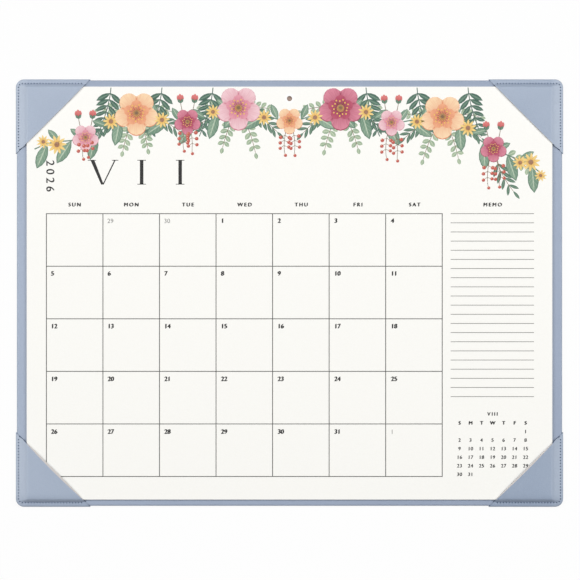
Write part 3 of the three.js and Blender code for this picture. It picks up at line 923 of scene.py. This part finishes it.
willow_ink = painted_leaf(
    "willow_ink", screen_colour(100, 132, 112), screen_colour(72, 104, 90), screen_colour(160, 182, 160), 0)
printed_piece("willow_leaves", "dark_green_ink", willow_ink, willow_leaf, willow_places)
bpy.data.objects.remove(willow_leaf)
round_leaf = painted_shape(8, 4, leaf_place(0.34))
round_ink = painted_leaf(
    "round_leaf_ink", screen_colour(176, 194, 164), screen_colour(138, 164, 138),
    screen_colour(212, 220, 196), 4)
printed_piece("round_leaves", "green_ink", round_ink, round_leaf, round_places)
bpy.data.objects.remove(round_leaf)

# Berries and buds: sprays of red berries hang below the small blossoms, and rose buds stand above them.
# They are printed over the leaves, each berry with its pale shine.
BERRY_RADIUS = 1.9 * MM
SHINE_RADIUS = BERRY_RADIUS * 0.28
BERRY_PITCH = 5.7 * MM
BERRY_STALK = 5 * MM
BERRY_JOINTS = 3
SPRAY_SPREAD = math.radians(24)
BUD_LENGTH = 9 * MM
SEPAL_LENGTH = BUD_LENGTH * 0.55
BUD_STEM = 21 * MM
BUD_TILT = math.radians(34)
BUD_CURL = 0.5
SPRAY_LENGTHS = (17 * MM, 27 * MM, 34 * MM, 34 * MM, 34 * MM)
front_layer = garland_top + INK * 3
fruit_layer = front_layer + INK * 3
shine_layer = front_layer + INK * 6
berry_places = []
shine_places = []
bud_places = []
sepal_places = []
for (centre, radius), spray_length in zip(small_blossoms, SPRAY_LENGTHS):
    for side in (-1, 1):
        spread = math.radians(270) + side * SPRAY_SPREAD
        curve = curled(centre, spread, spray_length * loose.uniform(0.9, 1.1), side * -0.5)
        grow_stem(curve, TWIG_STEM * 0.8, front_layer)
        last = round(spray_length / BERRY_PITCH)
        for joint, share, spot, along in joints_on(curve, last):
            if joint >= last - BERRY_JOINTS:
                for turn in ((0.0,) if joint == last else (-1.1, 1.1)):
                    stalk = curled(spot, along + turn, BERRY_STALK, 0.3)
                    grow_stem(stalk, TWIG_STEM * 0.6, front_layer)
                    end = stalk(1)
                    size = BERRY_RADIUS * (1.15 - 0.3 * share)
                    berry_places.append(set_down(end, 0, size, fruit_layer))
                    glint = end + Vector((-0.35, 0.4)) * BERRY_RADIUS
                    shine_places.append(set_down(glint, 0.9, SHINE_RADIUS, shine_layer))
        if abs(centre.x) > MM:
            rise = math.radians(90) - side * BUD_TILT
            bud_stem = curled(centre, rise, BUD_STEM, side * BUD_CURL)
            grow_stem(bud_stem, TWIG_STEM, front_layer)
            along = rise + side * BUD_CURL
            for turn, share in ((-0.32, 0.9), (0.32, 0.9), (0.0, 1.0)):
                bud_places.append(set_down(bud_stem(1), along + turn, BUD_LENGTH * share, fruit_layer))
            for turn in (-0.55, 0.55):
                sepal_places.append(set_down(bud_stem(0.97), along + turn, SEPAL_LENGTH, shine_layer))


deselect_all()
bpy.ops.mesh.primitive_circle_add(vertices=14, radius=1, fill_type="NGON")
berry = bpy.context.object
berry_ink = ink("berry_ink", screen_colour(190, 78, 64), shift=0.12)
printed_piece("berries", "rose_ink", berry_ink, berry, berry_places)
shine_ink = ink("shine_ink", screen_colour(240, 176, 150))
printed_piece("berry_shines", "pink_ink", shine_ink, berry, shine_places)


def painted_petal(name, pale, deep, streaks):
    """Ink for a petal with its own UV map: deep at the root and pale outside, with fine streaks."""
    printed = Finish(name, roughness=0.82, specular=0.2)
    along, across = printed.own_map()
    where = printed.node("ShaderNodeCombineXYZ", {}, {"X": along * 1.5, "Y": across * streaks})[0]
    streak = printed.spread(printed.noise(1.0, vector=where), -0.25, 0.35)
    margin = printed.power(abs(across - 0.5) * 2, 5) * 0.3
    printed.colour(printed.mix(printed.power(1 - along, 1.7) * 1.1 + streak * along + margin, pale, deep))
    return printed


bud_petal = painted_shape(8, 2, leaf_place(0.3))
bud_ink = painted_petal("bud_ink", screen_colour(226, 136, 132), screen_colour(178, 66, 74), 9)
printed_piece("bud_petals", "rose_ink", bud_ink, bud_petal, bud_places)
printed_piece("bud_sepals", "dark_green_ink", willow_ink, bud_petal, sepal_places)
bpy.data.objects.remove(bud_petal)

# Daisies: small yellow daisies sit along the garland between the blossoms and at its ends.
# Each has ten slim petals round a brown middle.
DAISY_PETALS = 10
DAISY_RADIUS = 8.2 * MM
DAISY_SWAY = 3 * MM
DAISY_MIDDLE_SHARE = 0.27
daisy_spots = [(side * SWAG_WIDTH * (0.25 + step / 2), 1.0) for side in (-1, 1) for step in range(4)]
daisy_spots += [(-238 * MM, 1.15), (-252 * MM, 0.85), (236 * MM, 1.0), (247 * MM, 1.2), (257 * MM, 0.85)]
daisy_petal_places = []
daisy_middle_places = []
for index, (x, size) in enumerate(daisy_spots):
    centre = garland_spot(x) + Vector((0, DAISY_SWAY if index % 2 else -DAISY_SWAY))
    turn = loose.uniform(0, math.tau)
    reach = DAISY_RADIUS * size * loose.uniform(0.9, 1.1)
    daisy_layer = front_layer + INK * (2 + index % 3 * 2)
    for petal in range(DAISY_PETALS):
        along = turn + petal * math.tau / DAISY_PETALS
        daisy_petal_places.append(set_down(centre, along, reach, daisy_layer))
    daisy_middle_places.append(set_down(centre, 0, reach * DAISY_MIDDLE_SHARE, daisy_layer + INK * 2))
daisy_petal = painted_shape(8, 2, leaf_place(0.17))
daisy_ink = painted_petal("daisy_ink", screen_colour(248, 222, 150), screen_colour(222, 162, 72), 7)
printed_piece("daisy_petals", "mustard_ink", daisy_ink, daisy_petal, daisy_petal_places)
middle_ink = ink("daisy_middle_ink", screen_colour(150, 98, 54), shift=0.2)
printed_piece("daisy_middles", "mustard_ink", middle_ink, berry, daisy_middle_places)
bpy.data.objects.remove(daisy_petal)

# Blossoms: nine five-petalled blossoms sit on the garland in pink, peach and rose.
# Streaked outer petals lie over each flat shape, with a deeper inner ring and a ring of stamens.
BLOSSOM_PETALS = 5
HALF_PETAL_TURN = 36
STAMENS = 15
PETAL_SHARE = 0.97
INNER_PETAL_SHARE = 0.56
LONG_STAMEN = 0.36
SHORT_STAMEN = 0.29
FILAMENT_WIDTH = 0.025
ANTHER_SIZE = 0.035


def petal_place(share, side):
    """A petal that fans out from its root to a rounded and slightly ruffled edge."""
    rounding = 1 - 0.42 * abs(side) ** 3 * share ** 2
    ruffle = 0.02 * math.cos(side * 9) * share ** 3
    return share * rounding + ruffle - 0.02 * share ** 3, side * 0.46 * share ** 0.6


eye_ink = ink("eye_ink", screen_colour(208, 142, 56), shift=0.15)
blossom_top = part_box("print_blossom_01")[1].z
inner_layer = blossom_top + INK * 2.5
filament_layer = blossom_top + INK * 4.5
anther_layer = blossom_top + INK * 6.5
blossom_colours = [
    ("pink", (240, 202, 208), (206, 124, 142), (228, 158, 172), (178, 80, 106)),
    ("peach", (249, 216, 178), (224, 140, 102), (238, 172, 134), (204, 100, 82)),
    ("rose", (216, 138, 156), (158, 62, 88), (188, 92, 114), (128, 44, 70)),
]
petal = painted_shape(12, 8, petal_place)
for index, (colour, pale, deep, inner_pale, inner_deep) in enumerate(blossom_colours):
    edge_ink = ink(colour + "_edge_ink", screen_colour(*deep))
    outer_ink = painted_petal(colour + "_petal_ink", screen_colour(*pale), screen_colour(*deep), 22)
    inner_tones = (screen_colour(*inner_pale), screen_colour(*inner_deep))
    inner_ink = painted_petal(colour + "_inner_ink", *inner_tones, 14)
    outer_places = []
    inner_places = []
    for number in range(index, len(blossoms), len(blossom_colours)):
        centre, radius = blossoms[number]
        wear(f"print_blossom_{number + 1:02d}", edge_ink)
        for step in range(BLOSSOM_PETALS):
            along = math.radians(90 - HALF_PETAL_TURN) - step * math.tau / BLOSSOM_PETALS
            between = along + math.radians(HALF_PETAL_TURN)
            outer_places.append(set_down(centre, along, radius * PETAL_SHARE, blossom_top))
            inner_places.append(set_down(centre, between, radius * INNER_PETAL_SHARE, inner_layer))
    printed_piece(colour + "_petals", colour + "_ink", outer_ink, petal, outer_places)
    printed_piece(colour + "_inner_petals", colour + "_ink", inner_ink, petal, inner_places)
bpy.data.objects.remove(petal)

anther_places = []
for number, (centre, radius) in enumerate(blossoms, 1):
    wear(f"print_blossom_eye_{number:02d}", eye_ink)
    for step in range(STAMENS):
        along = step * math.tau / STAMENS
        reach = radius * (LONG_STAMEN if step % 2 else SHORT_STAMEN)
        end = centre + Vector((math.cos(along), math.sin(along))) * reach
        filament = curled(centre, along - 0.1, reach, 0.2)
        grow_stem(filament, radius * FILAMENT_WIDTH, filament_layer)
        anther_places.append(set_down(end, 0, radius * ANTHER_SIZE, anther_layer))
anther_ink = ink("anther_ink", screen_colour(236, 190, 92))
printed_piece("anthers", "mustard_ink", anther_ink, berry, anther_places)
bpy.data.objects.remove(berry)
stem_piece = joined(stems)
apply_modifier(stem_piece, "SOLIDIFY", thickness=INK, offset=1)
settle(stem_piece, "border_stems", "mustard_ink", stem_ink)

# Numbers: plain upright figures in near-black, and pale grey ones for days of the next and last month.
# They are printed flat, and set from the same grid as the day boxes.
grid_low, grid_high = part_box("print_day_grid")
DAY_COLUMNS = 7
DAY_ROWS = 5
day_width = (grid_high.x - grid_low.x) / DAY_COLUMNS
day_height = (grid_high.y - grid_low.y) / DAY_ROWS
FIRST_DAY_COLUMN = 3
DAYS_IN_MONTH = 31
DAYS_BEFORE = 30
FIGURE_HEIGHT = 4.7 * MM
FIGURE_WEIGHT = 0.85 * MM
CAP_SHARE = 0.729
TEXT_EXTRUDE = 0.001
LEVEL_STROKE_SHARE = 0.5

dark_ink = ink("dark_ink", screen_colour(26, 26, 26))
faint_ink = ink("faint_ink", screen_colour(116, 116, 113))


def words(text, cap_height, x, y, align="LEFT", weight=0.0, spacing=1.0, turn=0.0):
    """Flat printed characters. x is their left edge or middle, y the baseline.

    Overlapping copies, each a hair above the last, widen the strokes by the weight."""
    deselect_all()
    bpy.ops.object.text_add(location=(0, 0, 0))
    line = bpy.context.object
    line.data.body = text
    line.data.align_x = align
    line.data.resolution_u = 4
    line.data.space_character = spacing
    line.data.extrude = TEXT_EXTRUDE
    bpy.ops.object.convert(target="MESH")
    line = bpy.context.object
    if weight:
        strokes = [line]
        for share in (0.5, 1.0):
            bpy.ops.object.duplicate()
            copy = bpy.context.object
            copy.location.x = share * weight / cap_height * CAP_SHARE
            copy.location.y = copy.location.x * LEVEL_STROKE_SHARE
            copy.location.z = share * TEXT_EXTRUDE
            strokes.append(copy)
        line = joined(strokes)
    size = cap_height / CAP_SHARE
    line.scale = (size, size, INK / 2 / TEXT_EXTRUDE)
    line.rotation_euler = (0, 0, turn)
    line.location = (x, y, page_high.z + INK)
    bpy.ops.object.transform_apply(location=True, rotation=True, scale=True)
    return line


def box_corner(cell):
    """The upper left corner of a day box, counted from the top left."""
    row, column = divmod(cell, DAY_COLUMNS)
    return grid_low.x + column * day_width, grid_high.y - row * day_height


NUMBER_INDENT = 4.7 * MM
NUMBER_DROP = 10.0 * MM
month_numbers = []
other_numbers = []
for cell in range(1, DAY_COLUMNS * DAY_ROWS):
    left, top = box_corner(cell)
    day = cell - FIRST_DAY_COLUMN + 1
    in_month = 1 <= day <= DAYS_IN_MONTH
    group, weight = (month_numbers, FIGURE_WEIGHT) if in_month else (other_numbers, 0.0)
    label = DAYS_BEFORE + day if day < 1 else (day - 1) % DAYS_IN_MONTH + 1
    group.append(words(str(label), FIGURE_HEIGHT, left + NUMBER_INDENT, top - NUMBER_DROP, weight=weight))
settle(joined(month_numbers), "day_numbers", "grey_ink", dark_ink)
settle(joined(other_numbers), "faint_day_numbers", "pale_ink", faint_ink)

# Headings: short weekday names over the columns and a heading over the note lines, letterspaced.
# The month is a large numeral in thick and thin strokes, and the year stands on its side.
HEADING_RISE = 6.9 * MM
HEADING_HEIGHT = 3.9 * MM
HEADING_WEIGHT = 0.7 * MM
HEADING_SPACING = 1.45
WEEKDAYS = ("SUN", "MON", "TUE", "WED", "THU", "FRI", "SAT")
first_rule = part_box("print_note_line_01")
notes_middle = (first_rule[0].x + first_rule[1].x) / 2
heading_spots = [(day, grid_low.x + (column + 0.5) * day_width) for column, day in enumerate(WEEKDAYS)]
heading_spots.append(("MEMO", notes_middle))
heading_line = grid_high.y + HEADING_RISE
headings = [
    words(label, HEADING_HEIGHT, x, heading_line, "CENTER", HEADING_WEIGHT, HEADING_SPACING)
    for label, x in heading_spots
]
settle(joined(headings), "headings", "grey_ink", dark_ink)

YEAR_HEIGHT = 8.6 * MM
YEAR_WEIGHT = 0.45 * MM
YEAR_SPACING = 1.5
YEAR_INDENT = 0.3 * MM
YEAR_RISE = 54.6 * MM
year_left = grid_low.x + YEAR_INDENT
year_top = grid_high.y + YEAR_RISE
year = words("2026", YEAR_HEIGHT, year_left, year_top, "LEFT", YEAR_WEIGHT, YEAR_SPACING, -math.pi / 2)
settle(year, "year_number", "grey_ink", dark_ink)

NUMERAL_HEIGHT = 25.2 * MM
NUMERAL_BASE = grid_high.y + 29.4 * MM
NUMERAL_LEFT = grid_low.x + 45 * MM
SERIF = 0.7
SERIF_REACH = 2.6
UPRIGHT_WIDTH = 3.6
UPRIGHTS = (51.1, 90.5)


def stroke(corners):
    """One straight stroke of a numeral: a plane whose corners are drawn to their places in millimetres."""
    deselect_all()
    bpy.ops.mesh.primitive_plane_add(size=MM, location=(0, 0, 0))
    made = bpy.context.object
    order = (0, 1, 3, 2)
    for index, (x, y) in zip(order, corners):
        made.data.vertices[index].co = (NUMERAL_LEFT + x * MM, NUMERAL_BASE + y * MM, page_high.z + INK * 0.5)
    apply_modifier(made, "SOLIDIFY", thickness=INK * 1.2, offset=1)
    return made


def tall_stroke(left, top_left, width, top_width=None):
    """A leaning or upright stroke as tall as the numeral."""
    height = NUMERAL_HEIGHT / MM
    top_width = top_width or width
    return stroke([(left, 0), (left + width, 0), (top_left + top_width, height), (top_left, height)])


def serif(left, right, at_top):
    """A hairline across the head or the foot of a stroke."""
    base = NUMERAL_HEIGHT / MM - SERIF if at_top else 0
    return stroke([(left, base), (right, base), (right, base + SERIF), (left, base + SERIF)])


# A thick stroke down and a hairline up meet in a point, and two upright strokes follow.
numeral = [
    tall_stroke(11.4, 0.4, 2.7, 4.0),
    tall_stroke(12.8, 25.0, 1.3, 1.4),
    serif(-2.2, 6.2, True),
    serif(22.4, 29.0, True),
]
for left in UPRIGHTS:
    right = left + UPRIGHT_WIDTH
    numeral.append(tall_stroke(left, left, UPRIGHT_WIDTH))
    numeral += [serif(left - SERIF_REACH, right + SERIF_REACH, at_top) for at_top in (True, False)]
settle(joined(numeral), "month_numeral", "grey_ink", dark_ink)

# Small calendar of the next month below the note lines: a numeral, the weekday initials and the days.
# Its figures are light and small, and the pocket covers the end of its last rows.
SMALL_HEIGHT = 3.7 * MM
SMALL_TITLE_DROP = 19.3 * MM
SMALL_TITLE_WEIGHT = 0.6 * MM
SMALL_TITLE_SPACING = 1.5
INITIALS_DROP = 9.2 * MM
INITIALS_WEIGHT = 0.75 * MM
SMALL_WEIGHT = 0.48 * MM
SMALL_SPACING = 1.12
SMALL_COLUMN = 11.27 * MM
SMALL_ROW = 8.76 * MM
SMALL_FIRST_COLUMN = 6
small_left = notes_middle - SMALL_COLUMN * 3
title_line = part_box("print_note_line_21")[0].y - SMALL_TITLE_DROP
initials_line = title_line - INITIALS_DROP
small_title = words(
    "VIII", SMALL_HEIGHT, notes_middle, title_line, "CENTER", SMALL_TITLE_WEIGHT, SMALL_TITLE_SPACING)
small_days = [small_title]
for column, weekday in enumerate(WEEKDAYS):
    x = small_left + column * SMALL_COLUMN
    small_days.append(words(weekday[0], SMALL_HEIGHT, x, initials_line, "CENTER", INITIALS_WEIGHT))
for day in range(1, DAYS_IN_MONTH + 1):
    row, column = divmod(day - 1 + SMALL_FIRST_COLUMN, DAY_COLUMNS)
    x = small_left + column * SMALL_COLUMN
    y = initials_line - SMALL_ROW * (row + 1)
    small_days.append(words(str(day), SMALL_HEIGHT, x, y, "CENTER", SMALL_WEIGHT, SMALL_SPACING))
settle(joined(small_days), "next_month", "grey_ink", dark_ink)

# Stage: a plain white floor under the holder and soft light, low from both sides and high from above.
# Floor and world are white to the camera, mirrors and glass, and light the holder at a plain level.
FLOOR_SIZE = 6.0
FLOOR_GLOW = 0.94
WORLD_LIGHT = 0.165


def seen_ray(tree):
    """1 on a ray that comes from the camera, a mirror or glass, and 0 on any other."""
    path = tree.node("ShaderNodeLightPath", {}, {})
    camera, mirror, glass = path[0], path[3], path[6]
    seen = tree.node("ShaderNodeMath", {"operation": "MAXIMUM"}, {0: camera, 1: mirror})[0]
    return tree.node("ShaderNodeMath", {"operation": "MAXIMUM"}, {0: seen, 1: glass})[0]


deselect_all()
bpy.ops.mesh.primitive_plane_add(size=FLOOR_SIZE, location=(0, 0, 0))
floor = bpy.context.object
floor.name = "floor"
floor_white = Finish("floor_white", roughness=0.9, specular=0.1)
floor_white.colour((0.85, 0.85, 0.85, 1.0))
glow = floor_white.node("ShaderNodeEmission", {}, {"Color": (1, 1, 1, 1), "Strength": 1.0})[0]
lit = Wire(floor_white, floor_white.shader.outputs[0])
share = seen_ray(floor_white) * FLOOR_GLOW
shown = floor_white.node("ShaderNodeMixShader", {}, {0: share, 1: lit, 2: glow})[0]
floor_white.feed(floor_white.nodes["Material Output"].inputs["Surface"], shown)
floor.data.materials.append(floor_white.material)

world = bpy.data.worlds.new("studio")
bpy.context.scene.world = world
sky = NodeTree(world)
backdrop = sky.nodes["Background"]
backdrop.inputs["Color"].default_value = (1, 1, 1, 1)
sky.feed(backdrop.inputs["Strength"], sky.ramp(seen_ray(sky), 0, 1, WORLD_LIGHT, 1.0))


def soft_light(name, place, size, power):
    bpy.ops.object.light_add(type="AREA", location=place)
    lamp = bpy.context.object
    lamp.name = name
    lamp.data.size = size
    lamp.data.energy = power
    lamp.rotation_mode = "QUATERNION"
    lamp.rotation_quaternion = (-Vector(place)).to_track_quat("-Z", "Y")


soft_light("left_light", (-2.3, 0.5, 2.75), 2.0, 59)
soft_light("right_light", (2.3, 0.5, 2.75), 2.0, 59)
soft_light("top_light", (0, 1.5, 3.4), 1.2, 32)

# Camera: straight above the pad, through a lens that takes in little more than the holder's width.
# The holder lies a little left of the middle of the picture and below it.
PICTURE = 580
MM_PER_PIXEL = 1.0244
CENTRE_LEFT_OF_MIDDLE = 0.5
CENTRE_BELOW_MIDDLE = 3.1
CAMERA_HEIGHT = 3.0
SENSOR = 36
pixel = MM_PER_PIXEL * MM
bpy.ops.object.camera_add(
    location=(CENTRE_LEFT_OF_MIDDLE * pixel, CENTRE_BELOW_MIDDLE * pixel, CAMERA_HEIGHT))
camera = bpy.context.object
camera.data.sensor_width = SENSOR
camera.data.lens = SENSOR * (CAMERA_HEIGHT - cover_high.z) / (PICTURE * pixel)
camera.data.clip_start = 0.1
camera.data.clip_end = 20
bpy.context.scene.camera = camera
bpy.context.scene.view_settings.view_transform = "Standard"
